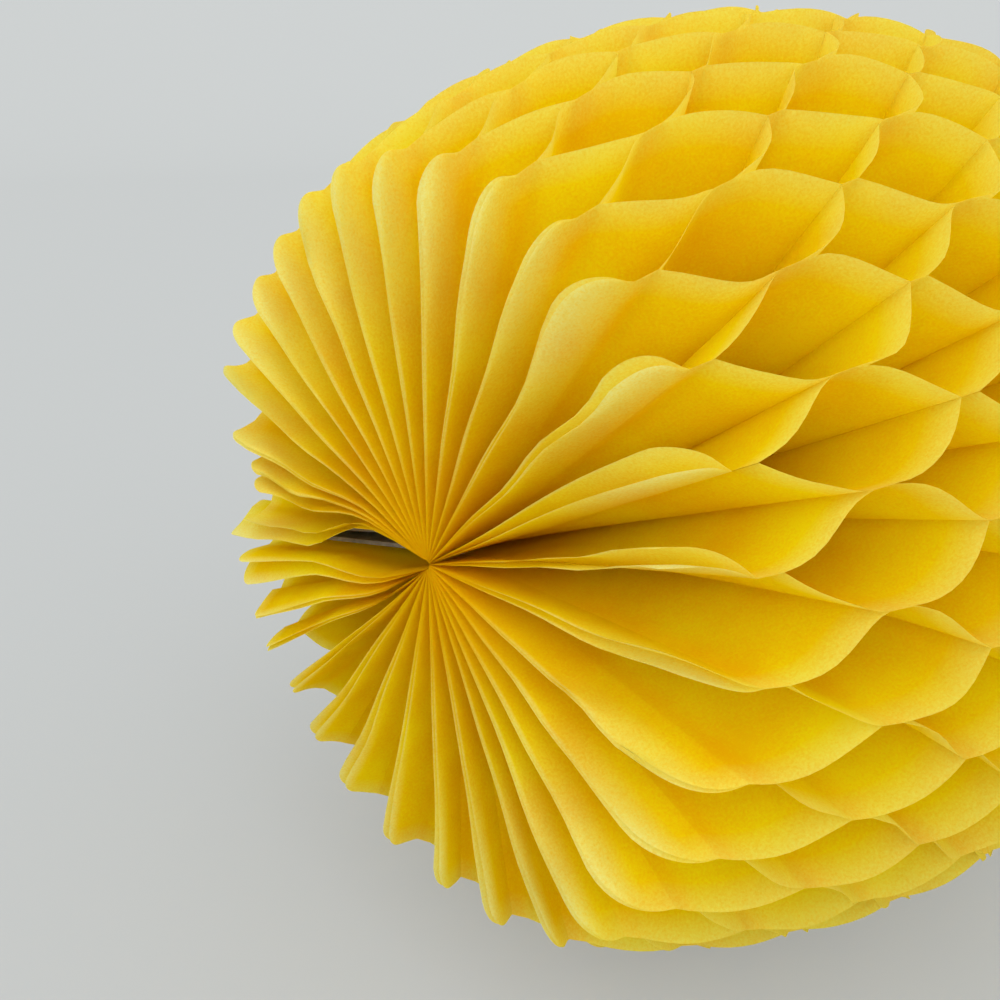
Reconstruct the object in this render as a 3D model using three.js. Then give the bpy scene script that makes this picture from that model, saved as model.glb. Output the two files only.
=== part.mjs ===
// A pineapple of honeycomb tissue paper that lies on its side: a yellow body, a green crown and
// the two grey cards that close it. Millimetres, +Z up, the axis along X, the crown towards +X.
// Every sheet is bound to the spine on the axis and glued to its two neighbours in turn, along
// lines across the axis, so that the opened stack is a ring of diamond cells.

import * as THREE from 'three';
import { mergeVertices } from 'three/addons/utils/BufferGeometryUtils.js';

// Tissue, as glued and opened
const sheetThickness = 0.4;
const spineRadius = 5;
const glueWidth = 3;
const touchWidth = 6;

// Body: its side is part of an ellipse, no narrower than its two cut ends, whose corners are rounded
const bodyLength = 173;
const bodyRadius = 86.5;
const barrelHalfLength = 118;
const barrelMiddle = 84;
const bodyPairs = 33;
const firstGlueLine = 8.5;
const glueSpacing = 15;
const endRadius = 65.4;
const cornerLength = 4.5;
const cornerDepth = 7;
const lowerRecess = 4;
const upperRecess = 6;
const recessReach = 60;
const flapSpread = 0.25;
const restingFlat = 3;
const lowerFlapSteps = [0, 0.2, 0.58];
const upperFlapSteps = [0.45, 0];

// How the opened sheets share the turn: closer together beside the seam, and slumped to one side
const seamAngle = -103;
const seamCrowding = 10.3;
const slump = 7.2;

// Crown: the same kind of stack, cut to three tiers of pointed leaves
const crownPairs = 12;
const tierHeight = 37;
const tipRadii = [54, 44, 32];
const valleyRadii = [18, 14, 10];
const crownTopRadius = 7;
const leafSlope = 0.7;
const leafShoulder = 0.6;
const leafFirstGlue = 4;
const leafSecondGlue = 19;
const leafTip = 31;
const leafSpread = 0.5;

// End cards, set back from the lower cut end, and the slit between them, which narrows towards the rim
const cardThickness = 0.8;
const cardInset = 4;
const cardRecess = 12;
const cardTongueBase = 12;
const cardTongueTop = 7;
const slitAtAxis = 2.4;
const slitAtRim = 0.6;
const clearance = 0.3;

const floorLevel = restingFlat - bodyRadius;

const tissueYellow = new THREE.MeshStandardMaterial({ color: 0xf0c20d, roughness: 0.9, metalness: 0 });
const tissueGreen = new THREE.MeshStandardMaterial({ color: 0x3f8f3a, roughness: 0.9, metalness: 0 });
const greyBoard = new THREE.MeshStandardMaterial({ color: 0x8a877c, roughness: 0.85, metalness: 0 });

// A place on the part: axial along the axis, radius from it, turn in degrees clockwise from the
// seam as seen from the lower end. What would reach below the floor is pressed flat on it.
function place(axial, radius, turn) {
  const angle = THREE.MathUtils.degToRad(seamAngle + turn);
  const height = Math.max(radius * Math.cos(angle), floorLevel);
  return new THREE.Vector3(axial, -radius * Math.sin(angle), height);
}

// Half the width of the slot that the two cards lie in, at a distance from the axis.
function slotHalfWidth(radius) {
  const slit = THREE.MathUtils.lerp(slitAtAxis, slitAtRim, radius / bodyRadius);
  return slit / 2 + cardThickness + clearance;
}

function slotTurn(radius) {
  return THREE.MathUtils.radToDeg(Math.asin(slotHalfWidth(radius) / radius));
}

// The turn of gap number `gap` out of `gaps` at the rim. The first and last gap are the slot.
function rimTurn(gap, gaps, radius) {
  if (gap === 0) return slotTurn(radius);
  if (gap === gaps) return 360 - slotTurn(radius);
  const share = gap / gaps;
  const wave = 2 * Math.PI * share;
  return 360 * share - seamCrowding * Math.sin(wave) + slump * (Math.cos(wave) - 1);
}

function rootTurn(gap, gaps) {
  const start = slotTurn(spineRadius);
  return THREE.MathUtils.lerp(start, 360 - start, gap / gaps);
}

// One sheet's four corners at a station: low and high side, at the spine and at the rim. Swing 0
// puts the sheet against its partner of the pair, swing 1 against the next pair's sheet.
function sheetCorners(sheet, gaps, station) {
  const facesPartnerHigh = sheet % 2 === 0;
  const partner = rimTurn(facesPartnerHigh ? sheet + 1 : sheet, gaps, station.rimRadius);
  const other = rimTurn(facesPartnerHigh ? sheet : sheet + 1, gaps, station.rimRadius);
  const thickness = THREE.MathUtils.radToDeg(sheetThickness / station.rimRadius);
  const sign = facesPartnerHigh ? -1 : 1;
  const partnerSide = partner + station.swing * (other - partner - sign * thickness);
  const otherSide = partnerSide + sign * thickness;
  const low = facesPartnerHigh ? otherSide : partnerSide;
  const high = facesPartnerHigh ? partnerSide : otherSide;
  return {
    rimLow: place(station.rimAxial, station.rimRadius, low),
    rimHigh: place(station.rimAxial, station.rimRadius, high),
    rootLow: place(station.rootAxial, spineRadius, rootTurn(sheet, gaps)),
    rootHigh: place(station.rootAxial, spineRadius, rootTurn(sheet + 1, gaps)),
  };
}

// The honeycomb as one closed body. A station is a ruling from the spine to the rim. Its `glue`
// says which neighbours are stuck together up to the next station: 'pair', 'next' or none.
function honeycombGeometry(pairs, stations) {
  const gaps = 2 * pairs;
  const positions = [];
  const triangle = (...corners) => corners.forEach((corner) => positions.push(...corner.toArray()));
  const quad = (a, b, c, d) => {
    triangle(a, b, c);
    triangle(a, c, d);
  };
  const fan = (a, b, c, d) => {
    const middle = new THREE.Vector3().add(a).add(b).add(c).add(d).divideScalar(4);
    [[a, b], [b, c], [c, d], [d, a]].forEach(([from, to]) => triangle(from, to, middle));
  };

  const sheets = [];
  for (let sheet = 0; sheet < gaps; sheet += 1) {
    sheets.push(stations.map((station) => sheetCorners(sheet, gaps, station)));
  }
  const isStuck = (gap, glue) => {
    if (gap === 0 || gap === gaps) return false;
    return glue === (gap % 2 === 1 ? 'pair' : 'next');
  };

  for (let step = 0; step + 1 < stations.length; step += 1) {
    const glue = stations[step].glue;
    const gluedBefore = step > 0 && stations[step - 1].glue;
    const gluedAfter = stations[step + 1].glue;
    // A face that swings between two glue lines is a saddle; a free flap folds from its glued end
    const face = (a, b, c, d) => {
      if (gluedBefore && gluedAfter) fan(a, b, c, d);
      else if (gluedAfter) quad(b, c, d, a);
      else quad(a, b, c, d);
    };
    sheets.forEach((corners, sheet) => {
      const near = corners[step];
      const far = corners[step + 1];
      if (!isStuck(sheet + 1, glue)) face(near.rootHigh, far.rootHigh, far.rimHigh, near.rimHigh);
      if (!isStuck(sheet, glue)) face(near.rootLow, near.rimLow, far.rimLow, far.rootLow);
      quad(near.rimLow, near.rimHigh, far.rimHigh, far.rimLow);
    });
    const last = sheets[gaps - 1];
    const first = sheets[0];
    quad(last[step].rootHigh, first[step].rootLow, first[step + 1].rootLow, last[step + 1].rootHigh);
  }

  const closeEnd = (step, facesLowerEnd) => {
    const middle = new THREE.Vector3(stations[step].rootAxial, 0, 0);
    sheets.forEach((corners, sheet) => {
      const { rootLow, rootHigh, rimLow, rimHigh } = corners[step];
      const nextLow = sheets[(sheet + 1) % gaps][step].rootLow;
      if (facesLowerEnd) {
        quad(rootLow, rootHigh, rimHigh, rimLow);
        triangle(middle, rootHigh, rootLow);
        if (sheet === gaps - 1) triangle(middle, nextLow, rootHigh);
      } else {
        quad(rootLow, rimLow, rimHigh, rootHigh);
        triangle(middle, rootLow, rootHigh);
        if (sheet === gaps - 1) triangle(middle, rootHigh, nextLow);
      }
    });
  };
  closeEnd(0, true);
  closeEnd(stations.length - 1, false);

  const geometry = new THREE.BufferGeometry();
  geometry.setAttribute('position', new THREE.Float32BufferAttribute(positions, 3));
  return mergeVertices(geometry);
}

// Body outline: radius of the rim at a distance from the lower cut end. Both ends are rounded off.
function cornerDrop(fromEnd) {
  const reach = Math.max(0, 1 - fromEnd / cornerLength);
  return cornerDepth * (1 - Math.sqrt(1 - reach * reach));
}

function bodyRim(axial) {
  const along = (axial - barrelMiddle) / barrelHalfLength;
  const side = Math.max(bodyRadius * Math.sqrt(1 - along * along), endRadius);
  return side - cornerDrop(axial) - cornerDrop(bodyLength - axial);
}

// Body rulings: the glue lines, and steps along the rounded free flaps at both cut ends. Two sheets
// of a pair part at once beside their glue, while sheets of two pairs lie together a little further.
const bodyLines = 2 * Math.floor((bodyLength - 2 * firstGlueLine) / glueSpacing / 2) + 1;
const bodyPads = [];
for (let line = 0; line < bodyLines; line += 1) {
  const middle = firstGlueLine + line * glueSpacing;
  const half = [glueWidth, touchWidth][line % 2] / 2;
  bodyPads.push({ start: middle - half, end: middle + half, swing: line % 2 });
}

function bodySwing(axial) {
  const first = bodyPads[0];
  const last = bodyPads[bodyPads.length - 1];
  if (axial < first.start) return flapSpread * Math.sin((Math.PI / 2) * (1 - axial / first.start));
  if (axial > last.end) {
    const free = flapSpread * Math.sin((Math.PI / 2) * ((axial - last.end) / (bodyLength - last.end)));
    return last.swing === 0 ? free : 1 - free;
  }
  const next = bodyPads.findIndex((pad) => axial <= pad.end + 1e-6);
  if (axial >= bodyPads[next].start - 1e-6) return bodyPads[next].swing;
  const share = (axial - bodyPads[next - 1].end) / (bodyPads[next].start - bodyPads[next - 1].end);
  return THREE.MathUtils.lerp(bodyPads[next - 1].swing, bodyPads[next].swing, share);
}

function padAt(axial) {
  return bodyPads.find((pad) => axial > pad.start && axial < pad.end);
}

const upperFlap = bodyLength - bodyPads[bodyPads.length - 1].end;
const bodyStops = [
  ...lowerFlapSteps.map((share) => share * bodyPads[0].start),
  ...bodyPads.flatMap((pad) => [pad.start, pad.end]),
  ...upperFlapSteps.map((share) => bodyLength - share * upperFlap),
];

const bodyStations = bodyStops.map((axial, index) => {
  const following = bodyStops[index + 1] ?? axial;
  const pad = padAt((axial + following) / 2);
  const lowerShare = Math.max(0, 1 - axial / recessReach);
  const upperShare = Math.max(0, 1 - (bodyLength - axial) / recessReach);
  return {
    rimAxial: axial,
    rimRadius: bodyRim(axial),
    rootAxial: axial + lowerRecess * lowerShare - upperRecess * upperShare,
    swing: bodySwing(axial),
    glue: pad ? ['pair', 'next'][pad.swing] : null,
  };
});

// Crown rulings: in each tier a valley, two glue lines and a leaf point, all sloping up and out
const crownFoot = bodyLength - upperRecess + clearance;
const crownHeight = tipRadii.length * tierHeight;

function crownStation(rootAxial, rimRadius, swing, glue) {
  const rimAxial = crownFoot + rootAxial + leafSlope * (rimRadius - spineRadius);
  return { rimAxial, rimRadius, rootAxial: crownFoot + rootAxial, swing, glue };
}

const crownStations = tipRadii.flatMap((tip, tier) => {
  const foot = tier * tierHeight;
  const rim = (along) => THREE.MathUtils.lerp(valleyRadii[tier], tip, (along / leafTip) ** leafShoulder);
  const stop = (along, swing, glue) => crownStation(foot + along, rim(along), swing, glue);
  return [
    stop(0, leafSpread, null),
    stop(leafFirstGlue - glueWidth / 2, 0, 'pair'),
    stop(leafFirstGlue + glueWidth / 2, 0, null),
    stop(leafSecondGlue - glueWidth / 2, 1, 'next'),
    stop(leafSecondGlue + glueWidth / 2, 1, null),
    stop(leafTip, leafSpread, null),
  ];
});
crownStations.push(crownStation(crownHeight, crownTopRadius, leafSpread, null));

// Card outline, axial by radial: half the body a little inside its rim, then a tongue up the crown
const tongueEnd = crownFoot + crownHeight - cardInset;
const cardRim = bodyRadius - cardInset;
const cardShape = new THREE.Shape();
cardShape.moveTo(lowerRecess + cardRecess, spineRadius);
cardShape.lineTo(tongueEnd, spineRadius);
cardShape.lineTo(tongueEnd, cardTongueTop);
cardShape.lineTo(bodyLength - cardInset, cardTongueBase);
cardShape.lineTo(bodyLength - cardInset, bodyRim(bodyLength) - cardInset);
cardShape.absellipse(
  barrelMiddle,
  0,
  barrelHalfLength,
  cardRim,
  Math.acos((barrelMiddle - cornerLength) / barrelHalfLength),
  Math.PI - Math.acos((barrelMiddle - cardRecess) / barrelHalfLength),
  false,
);
cardShape.closePath();

// side 1 is the card that lies clockwise of the slit, side -1 the other one
function cardGeometry(side) {
  const geometry = new THREE.ExtrudeGeometry(cardShape, {
    depth: cardThickness,
    bevelEnabled: false,
    curveSegments: 14,
  });
  if (side < 0) geometry.translate(0, 0, -cardThickness);
  geometry.rotateX(side * Math.atan((slitAtRim - slitAtAxis) / 2 / bodyRadius));
  geometry.translate(0, 0, (side * slitAtAxis) / 2);
  const angle = THREE.MathUtils.degToRad(seamAngle);
  const axialWay = new THREE.Vector3(1, 0, 0);
  const radialWay = new THREE.Vector3(0, -Math.sin(angle), Math.cos(angle));
  const turningWay = new THREE.Vector3(0, -Math.cos(angle), -Math.sin(angle));
  geometry.applyMatrix4(new THREE.Matrix4().makeBasis(axialWay, radialWay, turningWay));
  geometry.deleteAttribute('normal');
  geometry.deleteAttribute('uv');
  return mergeVertices(geometry);
}

const pineapple = new THREE.Group();
pineapple.name = 'tissue_pineapple';

function addPiece(name, geometry, material) {
  const mesh = new THREE.Mesh(geometry, material);
  mesh.name = name;
  pineapple.add(mesh);
}

addPiece('honeycomb_body', honeycombGeometry(bodyPairs, bodyStations), tissueYellow);
addPiece('honeycomb_crown', honeycombGeometry(crownPairs, crownStations), tissueGreen);
addPiece('end_card_upper', cardGeometry(1), greyBoard);
addPiece('end_card_lower', cardGeometry(-1), greyBoard.clone());

// The origin is under the middle of the whole, on the floor
const box = new THREE.Box3().setFromObject(pineapple);
const middle = box.getCenter(new THREE.Vector3());
pineapple.children.forEach((mesh) => mesh.geometry.translate(-middle.x, -middle.y, -box.min.z));

export default pineapple;
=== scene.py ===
"""Looks of a honeycomb tissue paper pineapple that lies on its side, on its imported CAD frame.

The formulas work in millimetres along and round the pineapple's axis, and the meshes are in metres. A
clock angle is in degrees from straight up, clockwise as seen from the lower cut end. A turn is in
degrees from the seam, the same way round.
"""

import bpy
import numpy as np
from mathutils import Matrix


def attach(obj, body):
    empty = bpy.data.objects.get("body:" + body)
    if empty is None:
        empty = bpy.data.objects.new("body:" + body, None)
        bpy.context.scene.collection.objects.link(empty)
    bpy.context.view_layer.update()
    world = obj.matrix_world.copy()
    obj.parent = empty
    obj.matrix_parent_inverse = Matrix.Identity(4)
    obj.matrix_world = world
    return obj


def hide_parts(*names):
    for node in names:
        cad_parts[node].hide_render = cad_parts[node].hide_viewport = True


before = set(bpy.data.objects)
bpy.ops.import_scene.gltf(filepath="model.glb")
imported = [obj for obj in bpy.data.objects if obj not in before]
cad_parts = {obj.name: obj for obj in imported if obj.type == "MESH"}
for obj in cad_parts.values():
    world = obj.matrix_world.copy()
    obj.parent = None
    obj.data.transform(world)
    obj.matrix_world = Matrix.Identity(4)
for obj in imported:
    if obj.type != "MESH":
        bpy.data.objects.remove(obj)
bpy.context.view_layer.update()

# Honeycomb body
# Sheets of thin yellow tissue, bound along one edge on the axis and glued to each other in pairs, then
# to the next pair, in lines across the axis. Opened through a full turn they make diamond cells, with
# free flaps beyond the first and last glue lines. Light comes through every sheet.
axis_place = np.array([-145.6, -0.073, 83.5])
seam_angle = -103.0
body_pairs = 33
body_length = 173.0
body_radius = 86.5
barrel_middle = 84.0
barrel_half_length = 118.0
end_radius = 65.4
corner_length = 4.5
corner_depth = 7.0
rim_bulge = 1.0
inner_radius = 0.9
first_glue_line = 8.5
glue_spacing = 15.0
glue_width = 3.0
glue_gap = 0.03
lower_recess = 4.0
upper_recess = 6.0
recess_reach = 60.0
resting_flat = 3.0
card_recess = 12.0
slot_at_axis = 2.3
slot_at_rim = 1.4
slot_sine_limit = 0.98
tissue_chance = np.random.default_rng(33)


def read_off(known, place):
    """The value at a place: straight between the known places, and level beyond them."""
    return np.interp(place, list(known.keys()), list(known.values()))


def fade(distance, length):
    """1 at no distance, falling straight to 0 at the length."""
    return np.clip(1.0 - distance / length, 0.0, 1.0)


def smooth_step(start, end, value):
    """0 up to the start, 1 from the end, and a smooth cubic between them."""
    share = np.clip((value - start) / (end - start), 0.0, 1.0)
    return share * share * (3.0 - 2.0 * share)


def body_rim(along, lower_length, lower_depth):
    """Radius of the rim: an ellipse, flat at both cut ends, less a quarter ellipse at their corners."""
    side = body_radius * np.sqrt(1.0 - ((along - barrel_middle) / barrel_half_length) ** 2)
    side = np.maximum(side, end_radius)
    corners = ((along, lower_length, lower_depth), (body_length - along, corner_length, corner_depth))
    for from_end, length, depth in corners:
        side = side - depth * (1.0 - np.sqrt(1.0 - fade(from_end, length) ** 2))
    return side


def beside_slot(turn, radius, openness):
    """The turn squeezed towards the far side, so that the sheets leave the slot of the two cards open."""
    half_width = openness * (slot_at_axis + (slot_at_rim - slot_at_axis) * radius / body_radius)
    slot = np.degrees(np.arcsin(np.clip(half_width / radius, 0.0, slot_sine_limit)))
    return slot + (360.0 - 2.0 * slot) * turn / 360.0


def on_axis(along, radius, turn):
    """Places in metres: along the axis, out by the radius, round by the turn, and flat on the floor."""
    angle = np.radians(seam_angle + turn)
    height = np.maximum(radius * np.cos(angle), resting_flat - body_radius)
    place = np.stack(np.broadcast_arrays(along, -radius * np.sin(angle), height), axis=-1)
    return (place + axis_place) / 1000.0


def sheet_mesh(name, places, attributes, crease=None):
    """One mesh of many sheets: places has the shape (sheets, rulings, steps out, 3), a grid for each.

    Shading is smooth, apart from a sharp crease along the ruling of that number on every sheet.
    """
    count, rulings, steps, _ = places.shape
    index = np.arange(count * rulings * steps).reshape(count, rulings, steps)
    corners = (index[:, :-1, :-1], index[:, 1:, :-1], index[:, 1:, 1:], index[:, :-1, 1:])
    quads = np.stack(corners, axis=-1).reshape(-1, 4)
    mesh = bpy.data.meshes.new(name)
    mesh.from_pydata(places.reshape(-1, 3), [], quads)
    mesh.polygons.foreach_set("use_smooth", np.ones(len(quads), dtype=bool))
    for label, values in attributes.items():
        layer = mesh.attributes.new(label, "FLOAT", "POINT")
        layer.data.foreach_set("value", np.broadcast_to(values, index.shape).ravel().astype(np.float32))
    if crease is not None:
        ends = np.empty(2 * len(mesh.edges), dtype=np.int32)
        mesh.edges.foreach_get("vertices", ends)
        ruling = ends.reshape(-1, 2) // steps % rulings
        sharp = mesh.attributes.new("sharp_edge", "BOOLEAN", "EDGE")
        sharp.data.foreach_set("value", np.all(ruling == crease, axis=1))
    mesh.update()
    piece = bpy.data.objects.new(name, mesh)
    bpy.context.scene.collection.objects.link(piece)
    return piece


# lengths of the four soft waves, along the axis and out from it, and the usual height of their sum
wave_lengths = ((38.0, 55.0), (21.0, 90.0), (13.0, 33.0), (60.0, 24.0))
wave_sum = 2.6


def waves(chance, along, radius, count):
    """Soft random waves of a sheet, about one high: sines with their own slant and phase per sheet."""
    total = 0.0
    for length_along, length_out in wave_lengths:
        slant = chance.uniform(-1.0, 1.0, (count, 1, 1))
        phase = chance.uniform(0.0, 2.0 * np.pi, (count, 1, 1))
        total = total + np.sin(2.0 * np.pi * (along / length_along + slant * radius / length_out) + phase)
    return total / wave_sum


# rulings along the axis, and steps out from it, lie closest at the cut ends and at the rim
flap_rulings = 13
cell_rulings = 9
upper_rulings = 8
steps_out = 13
lower_crowding = 1.5
upper_crowding = 0.7
rim_crowding = 0.85
half_glue = glue_width / 2
glue_lines = np.arange(first_glue_line, body_length - first_glue_line, glue_spacing)
free_start = first_glue_line - half_glue
free_end = glue_lines[-1] + half_glue
lower_flap = free_start * np.linspace(0.0, 1.0, flap_rulings) ** lower_crowding
cells = glue_lines[:-1, None] + np.linspace(half_glue, glue_spacing - half_glue, cell_rulings)
upper_flap = free_end + (body_length - free_end) * np.linspace(0.0, 1.0, upper_rulings) ** upper_crowding
rulings = np.concatenate([lower_flap, cells.ravel(), glue_lines, upper_flap])
rulings = np.unique(np.round(rulings, 4))
sheet = np.arange(2 * body_pairs)[:, None, None]
along = rulings[None, :, None]
reach = (np.linspace(0.0, 1.0, steps_out) ** rim_crowding)[None, None, :]
pair = sheet // 2
way = np.where(sheet % 2 == 0, -1, 1)

# each pair's glue lines keep to one clock angle, uneven and crowded beside the seam, as a hand opened them
pair_clock = {0: -98.5, 1: -89.5, 3: -80.5, 5: -60.8, 11: 5.3, 14: 38.6, 17: 74.0, 21: 124.5, 25: 176.5}
pair_clock |= {29: 226.0, 30: 239.5, 31: 247.0, 32: 255.5}
pair_turn = read_off(pair_clock, np.arange(body_pairs)) - seam_angle
next_turn = np.concatenate([[0.0], (pair_turn[1:] + pair_turn[:-1]) / 2, [360.0]])
at_pair = pair_turn[pair]
at_next = next_turn[pair + (way + 1) // 2]
clock = seam_angle + at_pair

# swing 0 at the pair's own glue lines, 1 at those to the next pair, full and rounded in between
sag_at_clock = {-60.0: 0.12, 0.0: 0.22, 20.0: 0.34, 60.0: 0.30, 100.0: 0.08, 190.0: 0.12}
sag_spread = 0.2
taut_sag = 0.05
taut_skew = 0.08
line_step = (along - first_glue_line) / glue_spacing
from_pair_line = np.abs((line_step + 1.0) % 2.0 - 1.0) * glue_spacing
share = np.clip((from_pair_line - half_glue) / (glue_spacing - glue_width), 0.0, 1.0)
half_wave = np.sin(np.pi * share)
sagging = read_off(sag_at_clock, clock) * (1.0 + sag_spread * tissue_chance.uniform(-1.0, 1.0, sheet.shape))
taut = taut_sag * half_wave - taut_skew * np.sin(2.0 * np.pi * share)
swing = share + np.where(way > 0, sagging * half_wave, taut)

# the lower flaps of a pair lie nearly together and part most on the right; each pair leans its own way
parting_at_clock = {-60.0: 0.05, 40.0: 0.06, 50.0: 0.16, 62.0: 0.26, 75.0: 0.26, 87.0: 0.15, 110.0: 0.08}
parting_at_clock |= {150.0: 0.08, 180.0: 0.16, 215.0: 0.16, 228.0: 0.12}
parting_spread = 0.3
lean_at_clock = {25.0: 0.0, 39.0: -2.0, 50.0: -3.2, 62.0: -4.0, 75.0: -4.0, 87.0: -1.5, 99.0: 2.0}
lean_at_clock |= {105.0: 3.0, 124.0: 2.2, 137.0: 0.0, 149.0: -3.8, 162.0: -4.1, 176.0: -3.0, 190.0: 0.0}
lean_at_clock |= {201.0: 2.5, 213.0: 3.0, 226.0: 1.0, 241.0: -4.5, 253.0: -4.0}
last_lean = -1.5
parting = read_off(parting_at_clock, clock)
parting = parting * (1.0 + parting_spread * tissue_chance.uniform(-1.0, 1.0, sheet.shape))
leaning = read_off(lean_at_clock, clock)
leaning[-1] = last_lean
lower_free = fade(along, free_start)
upper_free = np.clip((along - free_end) / (body_length - free_end), 0.0, 1.0)

# the lower corners are rounder on the right, and crumpling shortens some petals below and at the left
length_at_clock = {-80.0: 2.5, -60.0: 4.5, 60.0: 4.5, 95.0: 8.5, 125.0: 8.5, 137.0: 6.5, 150.0: 5.0}
length_at_clock |= {170.0: 3.5, 185.0: 2.5}
depth_at_clock = {-80.0: 4.0, -60.0: 7.0, 60.0: 7.0, 95.0: 12.6, 125.0: 12.6, 137.0: 9.0, 150.0: 7.0}
depth_at_clock |= {170.0: 5.0, 185.0: 4.0}
depth_spread = 0.1
crumple_at_turn = {5.0: 8.0, 13.0: 14.0, 18.0: 13.0, 23.0: 5.0, 31.0: 0.0, 47.0: 0.0, 53.0: 2.3, 69.0: 2.3}
crumple_at_turn |= {77.0: 0.3, 84.0: 0.0, 252.0: 0.0, 266.0: 2.6, 281.0: 5.5, 330.0: 6.5, 340.0: 3.2}
crumple_at_turn |= {360.0: 2.0}
first_crumple = 1.0
crumple_reach = 30.0
lower_length = read_off(length_at_clock, clock)
lower_depth = read_off(depth_at_clock, clock)
lower_depth = lower_depth * (1.0 + depth_spread * tissue_chance.uniform(-1.0, 1.0, body_pairs)[pair])
crumpled = read_off(crumple_at_turn, at_pair)
crumpled[0] = first_crumple
between_lines = (along > free_start) & (along < free_end)
rim = body_rim(along, lower_length, lower_depth) + rim_bulge * half_wave * between_lines
rim = rim - crumpled * fade(along, crumple_reach)
radius = inner_radius + (rim - inner_radius) * reach

# beside the cards the outer sheets' flaps lean on them, but only away from the axis
card_lean_start = 6.0
card_lean_full = 28.0
first_parting = 0.85
last_parting = 0.9
upper_parting = 0.25
on_card = smooth_step(card_lean_start, card_lean_full, radius)
parting = np.where(sheet == 0, first_parting * on_card, parting)
parting = np.where(sheet == len(sheet) - 1, last_parting * on_card, parting)
swing = np.where(along < free_start, parting * lower_free, swing)
swing = np.where(along > free_end, upper_parting * np.sin(0.5 * np.pi * upper_free), swing)

# soft waves bend each sheet between its glue lines, and both sheets of a pair together in the flaps
cell_wave = 0.7
own_flap_wave = 0.35
pair_flap_wave = 1.1
upper_wave = 0.5
wave_growth = 1.5
stiff_radius = 6.0
least_gap_radius = 8.0
own_wave = waves(tissue_chance, along, radius, len(sheet))
pair_wave = waves(tissue_chance, along, body_radius * reach, body_pairs)[pair[:, 0, 0]]
own_height = cell_wave * half_wave * between_lines + own_flap_wave * lower_free + upper_wave * upper_free
pair_height = pair_flap_wave * lower_free + upper_wave * upper_free
wave = (own_wave * own_height + pair_wave * pair_height) * reach**wave_growth
turn = at_pair + (at_next - at_pair) * swing + np.degrees(wave / np.maximum(radius, stiff_radius))
turn = turn + leaning * lower_free
apart = np.degrees(glue_gap / np.maximum(radius, least_gap_radius))
turn = turn + way * apart * (1.0 - 2.0 * np.clip(swing, 0.0, 1.0))

# near the axis the sheets stand away from the seam, so the slit gapes there and closes at the rim
upper_gape = 20.0
lower_gape = 10.0
gape_spread = 28.0
gape_inside = 10.0
gape_outside = 35.0
gape_reach = 40.0
least_openness = 0.35
from_seam = np.minimum(at_pair, 360.0 - at_pair)
away = np.where(at_pair < 180.0, upper_gape, -lower_gape) * np.exp(-from_seam / gape_spread)
turn = turn + away * (1.0 - smooth_step(gape_inside, gape_outside, radius)) * fade(along, gape_reach)
openness = np.clip(along / card_recess, least_openness, 1.0)
turn = beside_slot(np.clip(turn, 0.0, 360.0), radius, openness)
recess = lower_recess * fade(along, recess_reach) - upper_recess * fade(body_length - along, recess_reach)
body_places = on_axis(along + recess * (1.0 - reach), radius, turn)

# painted highlight: paler colour towards the cut edges, most on the front flaps at the right, and weakly
# along the rim
highlight_width_at_clock = {60.0: 7.5, 95.0: 5.0, 160.0: 3.5, 190.0: 2.0}
right_at_clock = {20.0: 0.0, 45.0: 1.0, 90.0: 1.0, 105.0: 0.0}
highlight_power = 1.3
front_power_drop = 0.7
back_highlight_drop = 0.6
flap_highlight_from = 30.0
flap_highlight_full = 66.0
edge_highlight_share = 0.5
edge_highlight_width = 0.5
edge_highlight_from = 10.0
edge_highlight_full = 30.0
rim_highlight_share = 0.3
rim_highlight_width = 4.0
on_right = read_off(right_at_clock, clock)
front_power = np.where(way > 0, highlight_power - front_power_drop * on_right, highlight_power)
flap_highlight = fade(along, read_off(highlight_width_at_clock, clock)) ** front_power
flap_highlight = flap_highlight * smooth_step(flap_highlight_from, flap_highlight_full, radius)
flap_highlight = flap_highlight * np.where(way > 0, 1.0, 1.0 - back_highlight_drop * on_right)
edge_highlight = edge_highlight_share * fade(along, edge_highlight_width) * smooth_step(edge_highlight_from, edge_highlight_full, radius)
rim_highlight = rim_highlight_share * fade(rim - radius, rim_highlight_width)
painted_highlight = np.maximum(np.maximum(flap_highlight, edge_highlight), rim_highlight)

# painted shade: it is deeper near the axis, where the cells are deepest; the glue lines have their own
# darker tint, which ends softly at a reach that is counted in half widths of a line
line_tint = 0.3
tint_reach = 1.5
tint_margin = 1.0
axis_shade_inside = 8.0
axis_shade_outside = 38.0
from_line = np.abs((line_step + 0.5) % 1.0 - 0.5) * glue_spacing
glue_and_shade = np.clip(tint_reach - from_line / half_glue, 0.0, 1.0)
glue_and_shade = line_tint * glue_and_shade * ((along > free_start - tint_margin) & (along < free_end + tint_margin))
glue_and_shade = np.maximum(glue_and_shade, 1.0 - smooth_step(axis_shade_inside, axis_shade_outside, radius))
flap_crease = int(np.argmin(np.abs(rulings - free_start)))
body = sheet_mesh("tissue_body", body_places, {"painted_highlight": painted_highlight, "glue_and_shade": glue_and_shade}, flap_crease)

# numbers of the colour sockets of a mix node
first_colour = 6
second_colour = 7
mixed_colour = 2


def colour_mix(nodes, colour):
    """A mix of two colours by its factor, of which the second is given."""
    mix = nodes.new("ShaderNodeMix")
    mix.data_type = "RGBA"
    mix.inputs[second_colour].default_value = (*colour, 1.0)
    return mix


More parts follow.
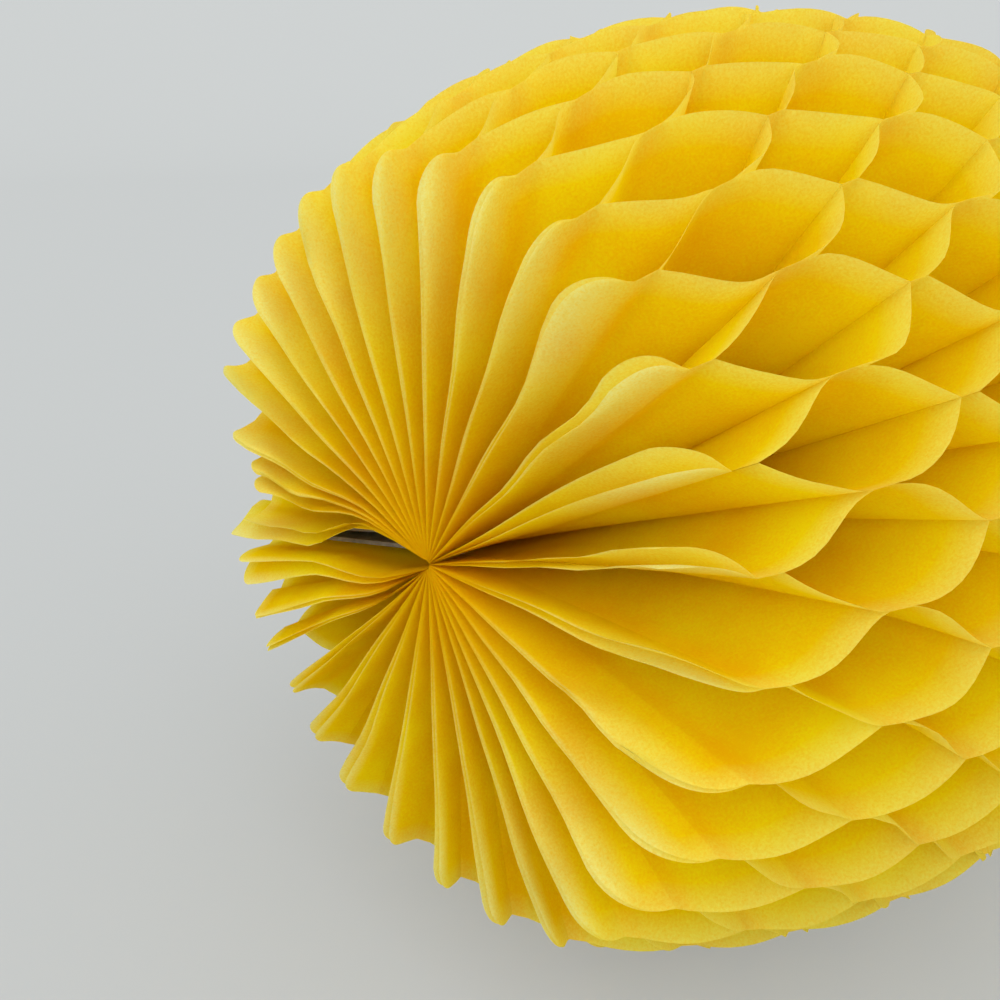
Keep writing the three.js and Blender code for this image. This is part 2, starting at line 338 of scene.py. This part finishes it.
def tissue_material(name, deep, pale, highlight_colour, glow):
    """Thin dyed tissue: speckled by its fibres, with a painted highlight towards its cut edge, darker at
    its glue lines and with painted shade near the axis, and lit through from behind.
    """
    material = bpy.data.materials.new(name)
    material.use_nodes = True
    nodes = material.node_tree.nodes
    links = material.node_tree.links
    place = nodes.new("ShaderNodeTexCoord")
    fibres = nodes.new("ShaderNodeTexNoise")
    fibres.inputs["Scale"].default_value = 2400.0
    fibres.inputs["Detail"].default_value = 2.0
    fibres.inputs["Roughness"].default_value = 0.7
    clouds = nodes.new("ShaderNodeTexNoise")
    clouds.inputs["Scale"].default_value = 70.0
    clouds.inputs["Detail"].default_value = 2.0
    mottle = nodes.new("ShaderNodeMath")
    mottle.operation = "ADD"
    tone = nodes.new("ShaderNodeMapRange")
    tone.inputs["From Min"].default_value = 0.74
    tone.inputs["From Max"].default_value = 1.26
    dyed = colour_mix(nodes, pale)
    dyed.inputs[first_colour].default_value = (*deep, 1.0)
    # the glue lines darken the dyed colour with their own tint, and painted shade darkens it near the axis
    glue_and_shade_read = nodes.new("ShaderNodeAttribute")
    glue_and_shade_read.attribute_name = "glue_and_shade"
    glue_and_shade_share = nodes.new("ShaderNodeMath")
    glue_and_shade_share.operation = "MULTIPLY"
    glue_and_shade_share.inputs[1].default_value = 0.6
    glue_and_shade_colour = (deep[0] * 0.96, deep[1] * 0.7, deep[2])
    glued_and_shaded = colour_mix(nodes, glue_and_shade_colour)
    # painted highlight: paler colour at the cut edges and rims, in the surface and in the light through it
    highlight_read = nodes.new("ShaderNodeAttribute")
    highlight_read.attribute_name = "painted_highlight"
    speckle = nodes.new("ShaderNodeMath")
    speckle.operation = "MULTIPLY_ADD"
    speckle.inputs[1].default_value = 1.8
    speckle.inputs[2].default_value = 0.1
    highlight_share = nodes.new("ShaderNodeMath")
    highlight_share.operation = "MULTIPLY"
    highlight_share.use_clamp = True
    highlighted = colour_mix(nodes, highlight_colour)
    grain = nodes.new("ShaderNodeBump")
    grain.inputs["Strength"].default_value = 0.3
    grain.inputs["Distance"].default_value = 0.0002
    deep_glow = (glow[0] * 0.94, glow[1] * 0.86, glow[2] * 0.7)
    lit_through = colour_mix(nodes, glow)
    lit_through.inputs[first_colour].default_value = (*deep_glow, 1.0)
    highlight_lit_through = colour_mix(nodes, highlight_colour)
    through = nodes.new("ShaderNodeBsdfTranslucent")
    both = nodes.new("ShaderNodeMixShader")
    both.inputs["Fac"].default_value = 0.5
    surface = nodes["Principled BSDF"]
    surface.inputs["Roughness"].default_value = 0.75
    surface.inputs["Specular IOR Level"].default_value = 0.0
    links.new(place.outputs["Object"], fibres.inputs["Vector"])
    links.new(place.outputs["Object"], clouds.inputs["Vector"])
    links.new(fibres.outputs["Fac"], mottle.inputs[0])
    links.new(clouds.outputs["Fac"], mottle.inputs[1])
    links.new(mottle.outputs["Value"], tone.inputs["Value"])
    links.new(tone.outputs["Result"], dyed.inputs["Factor"])
    links.new(tone.outputs["Result"], lit_through.inputs["Factor"])
    links.new(glue_and_shade_read.outputs["Fac"], glue_and_shade_share.inputs[0])
    links.new(glue_and_shade_share.outputs["Value"], glued_and_shaded.inputs["Factor"])
    links.new(dyed.outputs[mixed_colour], glued_and_shaded.inputs[first_colour])
    links.new(fibres.outputs["Fac"], speckle.inputs[0])
    links.new(highlight_read.outputs["Fac"], highlight_share.inputs[0])
    links.new(speckle.outputs["Value"], highlight_share.inputs[1])
    links.new(highlight_share.outputs["Value"], highlighted.inputs["Factor"])
    links.new(glued_and_shaded.outputs[mixed_colour], highlighted.inputs[first_colour])
    links.new(highlighted.outputs[mixed_colour], surface.inputs["Base Color"])
    links.new(fibres.outputs["Fac"], grain.inputs["Height"])
    links.new(grain.outputs["Normal"], surface.inputs["Normal"])
    links.new(highlight_share.outputs["Value"], highlight_lit_through.inputs["Factor"])
    links.new(lit_through.outputs[mixed_colour], highlight_lit_through.inputs[first_colour])
    links.new(highlight_lit_through.outputs[mixed_colour], through.inputs["Color"])
    links.new(surface.outputs["BSDF"], both.inputs[1])
    links.new(through.outputs["BSDF"], both.inputs[2])
    links.new(both.outputs["Shader"], nodes["Material Output"].inputs["Surface"])
    return material


yellow_tissue = tissue_material(
    "yellow_tissue",
    deep=(0.98, 0.67, 0.003),
    pale=(0.99, 0.90, 0.006),
    # painted highlight colour for the cut edges and rims
    highlight_colour=(0.965, 0.95, 0.36),
    glow=(0.99, 0.84, 0.003),
)
body.data.materials.append(yellow_tissue)
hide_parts("honeycomb_body")
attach(body, "root")

# Crown
# Green tissue bound and glued the same way on the same axis, cut to three tiers of pointed leaves that
# slope up and out. The end cards carry it above the body.
crown_pairs = 12
crown_foot = 167.3
tier_height = 37.0
tip_radii = np.array([54.0, 44.0, 32.0])
valley_radii = np.array([18.0, 14.0, 10.0, 7.0])
spine_radius = 5.0
leaf_slope = 0.7
leaf_tip = 31.0
leaf_fullness = 0.6
leaf_first_glue = 4.0
leaf_second_glue = 19.0
leaf_glue_reach = 1.6
leaf_glue_tint = 0.3
leaf_curl = 2.2
leaf_stiff_radius = 8.0
leaf_highlight_share = 0.7
leaf_highlight_width = 4.0
crowding = 10.3
slump = 7.2
rising_rulings = 22
falling_rulings = 6
leaf_steps_out = 9
leaf_chance = np.random.default_rng(12)


def shared_turn(share):
    """Turn from the seam: a full turn shared out, closer near the seam and slumped to one side."""
    wave = 2.0 * np.pi * share
    return 360.0 * share - crowding * np.sin(wave) + slump * (np.cos(wave) - 1.0)


up_leaf = np.linspace(0.0, leaf_tip, rising_rulings)
down_leaf = np.linspace(leaf_tip, tier_height, falling_rulings)[1:]
tiers = len(tip_radii)
leaf_step = np.tile(np.concatenate([up_leaf, down_leaf]), tiers)
tier = np.repeat(np.arange(tiers), len(leaf_step) // tiers)
rising = np.clip(leaf_step / leaf_tip, 0.0, 1.0) ** leaf_fullness
falling = np.clip((leaf_step - leaf_tip) / (tier_height - leaf_tip), 0.0, 1.0)
leaf_rim = valley_radii[tier] + (tip_radii[tier] - valley_radii[tier]) * rising
leaf_rim = leaf_rim + (valley_radii[tier + 1] - leaf_rim) * falling
swing_at_step = {
    0.0: 0.5,
    leaf_first_glue - half_glue: 0.0,
    leaf_first_glue + half_glue: 0.0,
    leaf_second_glue - half_glue: 1.0,
    leaf_second_glue + half_glue: 1.0,
    leaf_tip: 0.5,
}
leaf_swing = read_off(swing_at_step, leaf_step)[None, :, None]
from_leaf_glue = np.minimum(np.abs(leaf_step - leaf_first_glue), np.abs(leaf_step - leaf_second_glue))
leaf_glued = leaf_glue_tint * (from_leaf_glue < leaf_glue_reach)[None, :, None]

sheet = np.arange(2 * crown_pairs)[:, None, None]
pair = sheet // 2
way = np.where(sheet % 2 == 0, -1, 1)
reach = np.linspace(0.0, 1.0, leaf_steps_out)[None, None, :]
at_pair = shared_turn((pair + 0.5) / crown_pairs)
at_next = shared_turn((pair + (way + 1) / 2) / crown_pairs)
rim = leaf_rim[None, :, None]
radius = inner_radius + (rim - inner_radius) * reach
root_along = (tier * tier_height + leaf_step)[None, :, None]
curl = waves(leaf_chance, root_along, radius, len(sheet)) * leaf_curl * reach**2 * rising[None, :, None]
turn = at_pair + (at_next - at_pair) * leaf_swing
turn = turn + np.degrees(curl / np.maximum(radius, leaf_stiff_radius))
crown_along = crown_foot + root_along + leaf_slope * np.maximum(radius - spine_radius, 0.0)
crown_places = on_axis(crown_along, radius, beside_slot(np.clip(turn, 0.0, 360.0), radius, 1.0))
# painted highlight: the leaves are paler along their rims
leaf_highlight = leaf_highlight_share * fade(rim - radius, leaf_highlight_width)
crown = sheet_mesh("tissue_crown", crown_places, {"painted_highlight": leaf_highlight, "glue_and_shade": leaf_glued})
green_tissue = tissue_material(
    "green_tissue",
    deep=(0.035, 0.19, 0.03),
    pale=(0.09, 0.33, 0.06),
    # painted highlight colour for the leaf rims
    highlight_colour=(0.17, 0.42, 0.12),
    glow=(0.12, 0.45, 0.05),
)
crown.data.materials.append(green_tissue)
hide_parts("honeycomb_crown")
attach(crown, "root")

# End cards
# Two plates of plain grey board, glued to the first and last sheets, that meet at the seam. Their
# rigid shape is right in the frame, so they get only their grey pulp with its darker flecks.
grey_board = bpy.data.materials.new("grey_board")
grey_board.use_nodes = True
board_nodes = grey_board.node_tree.nodes
board_links = grey_board.node_tree.links
board_place = board_nodes.new("ShaderNodeTexCoord")
pulp = board_nodes.new("ShaderNodeTexNoise")
pulp.inputs["Scale"].default_value = 420.0
pulp.inputs["Detail"].default_value = 6.0
pulp.inputs["Roughness"].default_value = 0.75
pulp_colour = board_nodes.new("ShaderNodeValToRGB")
pulp_colour.color_ramp.elements[0].position = 0.3
pulp_colour.color_ramp.elements[0].color = (0.15, 0.145, 0.12, 1.0)
pulp_colour.color_ramp.elements[1].position = 0.7
pulp_colour.color_ramp.elements[1].color = (0.34, 0.33, 0.29, 1.0)
pulp_bump = board_nodes.new("ShaderNodeBump")
pulp_bump.inputs["Strength"].default_value = 0.3
pulp_bump.inputs["Distance"].default_value = 0.0003
board_surface = board_nodes["Principled BSDF"]
board_surface.inputs["Roughness"].default_value = 0.85
board_links.new(board_place.outputs["Object"], pulp.inputs["Vector"])
board_links.new(pulp.outputs["Fac"], pulp_colour.inputs["Fac"])
board_links.new(pulp_colour.outputs["Color"], board_surface.inputs["Base Color"])
board_links.new(pulp.outputs["Fac"], pulp_bump.inputs["Height"])
board_links.new(pulp_bump.outputs["Normal"], board_surface.inputs["Normal"])
for card in ("end_card_upper", "end_card_lower"):
    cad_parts[card].material_slots[0].link = "OBJECT"
    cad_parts[card].material_slots[0].material = grey_board

# Floor and backdrop
# A pale cool sheet, in metres, that lies flat under the pineapple and slopes up a little far off. The
# camera sees half of its plain colour and half of its light and shadow, so that the shadow stays soft.
floor_radius = 2.0
bend_radius = 1.4
bend_angle = 0.5
slope_length = 0.6
flat_rings = 9
bend_rings = 12
floor_sides = 96
floor_flat = np.linspace(0.0, floor_radius, flat_rings)
floor_bend = np.linspace(0.0, bend_angle, bend_rings)[1:]
floor_out = np.concatenate([floor_flat, floor_radius + bend_radius * np.sin(floor_bend)])
floor_up = np.concatenate([np.zeros(flat_rings), bend_radius * (1.0 - np.cos(floor_bend))])
floor_out = np.append(floor_out, floor_out[-1] + slope_length * np.cos(bend_angle))
floor_up = np.append(floor_up, floor_up[-1] + slope_length * np.sin(bend_angle))
around = np.linspace(0.0, 2.0 * np.pi, floor_sides + 1)[:, None]
floor_grid = np.broadcast_arrays(floor_out * np.cos(around), floor_out * np.sin(around), floor_up)
floor = sheet_mesh("floor", np.stack(floor_grid, axis=-1)[None], {})
pale_paper = bpy.data.materials.new("pale_paper")
pale_paper.use_nodes = True
floor_nodes = pale_paper.node_tree.nodes
floor_links = pale_paper.node_tree.links
lit_floor = floor_nodes["Principled BSDF"]
lit_floor.inputs["Base Color"].default_value = (0.52, 0.535, 0.54, 1.0)
lit_floor.inputs["Roughness"].default_value = 0.95
lit_floor.inputs["Specular IOR Level"].default_value = 0.0
plain_floor = floor_nodes.new("ShaderNodeEmission")
plain_floor.inputs["Color"].default_value = (0.56, 0.585, 0.575, 1.0)
floor_seen = floor_nodes.new("ShaderNodeLightPath")
plain_share = floor_nodes.new("ShaderNodeMath")
plain_share.operation = "MULTIPLY"
plain_share.inputs[1].default_value = 0.5
lit_or_plain = floor_nodes.new("ShaderNodeMixShader")
floor_links.new(floor_seen.outputs["Is Camera Ray"], plain_share.inputs[0])
floor_links.new(plain_share.outputs["Value"], lit_or_plain.inputs["Fac"])
floor_links.new(lit_floor.outputs["BSDF"], lit_or_plain.inputs[1])
floor_links.new(plain_floor.outputs["Emission"], lit_or_plain.inputs[2])
floor_links.new(lit_or_plain.outputs["Shader"], floor_nodes["Material Output"].inputs["Surface"])
pale_paper.cycles.emission_sampling = "NONE"
floor.data.materials.append(pale_paper)

# Light
# Soft daylight from all round, brighter from above and before the lower end as from a wide window. The
# camera sees the plain backdrop colour past the end of the floor.
world = bpy.data.worlds.new("daylight")
world.use_nodes = True
world_nodes = world.node_tree.nodes
world_links = world.node_tree.links
sky_way = world_nodes.new("ShaderNodeTexCoord")
to_window = world_nodes.new("ShaderNodeVectorMath")
to_window.operation = "DOT_PRODUCT"
to_window.inputs[1].default_value = (-0.60, -0.56, 0.57)
window_share = world_nodes.new("ShaderNodeMapRange")
window_share.interpolation_type = "SMOOTHSTEP"
window_share.inputs["From Min"].default_value = -0.1
window_share.inputs["From Max"].default_value = 1.0
sky_colour = colour_mix(world_nodes, (1.70, 1.70, 1.70))
sky_colour.inputs[first_colour].default_value = (0.77, 0.78, 0.79, 1.0)
sky = world_nodes["Background"]
backdrop = world_nodes.new("ShaderNodeBackground")
backdrop.inputs["Color"].default_value = (0.61, 0.63, 0.635, 1.0)
sky_seen = world_nodes.new("ShaderNodeLightPath")
sky_or_backdrop = world_nodes.new("ShaderNodeMixShader")
world_links.new(sky_way.outputs["Generated"], to_window.inputs[0])
world_links.new(to_window.outputs["Value"], window_share.inputs["Value"])
world_links.new(window_share.outputs["Result"], sky_colour.inputs["Factor"])
world_links.new(sky_colour.outputs[mixed_colour], sky.inputs["Color"])
world_links.new(sky_seen.outputs["Is Camera Ray"], sky_or_backdrop.inputs["Fac"])
world_links.new(sky.outputs["Background"], sky_or_backdrop.inputs[1])
world_links.new(backdrop.outputs["Background"], sky_or_backdrop.inputs[2])
world_links.new(sky_or_backdrop.outputs["Shader"], world_nodes["World Output"].inputs["Surface"])
world.cycles.sampling_method = "NONE"
bpy.context.scene.world = world
bpy.context.scene.cycles.max_bounces = 8
bpy.context.scene.cycles.diffuse_bounces = 7
bpy.context.scene.cycles.transmission_bounces = 7

# Camera
# Close to the lower end and a little above it, looking along past the seam towards the crown.
camera_heading = -40.78
camera_tilt = 20.2
camera = bpy.data.cameras.new("camera")
camera.sensor_width = 36.0
camera.lens = 40.65
camera.clip_start = 0.01
camera_place = bpy.data.objects.new("camera", camera)
camera_place.location = (-0.2439, -0.1374, 0.1577)
camera_place.rotation_euler = (np.radians(90.0 - camera_tilt), 0.0, np.radians(camera_heading))
bpy.context.scene.collection.objects.link(camera_place)
bpy.context.scene.camera = camera_place
bpy.context.scene.view_settings.view_transform = "Standard"
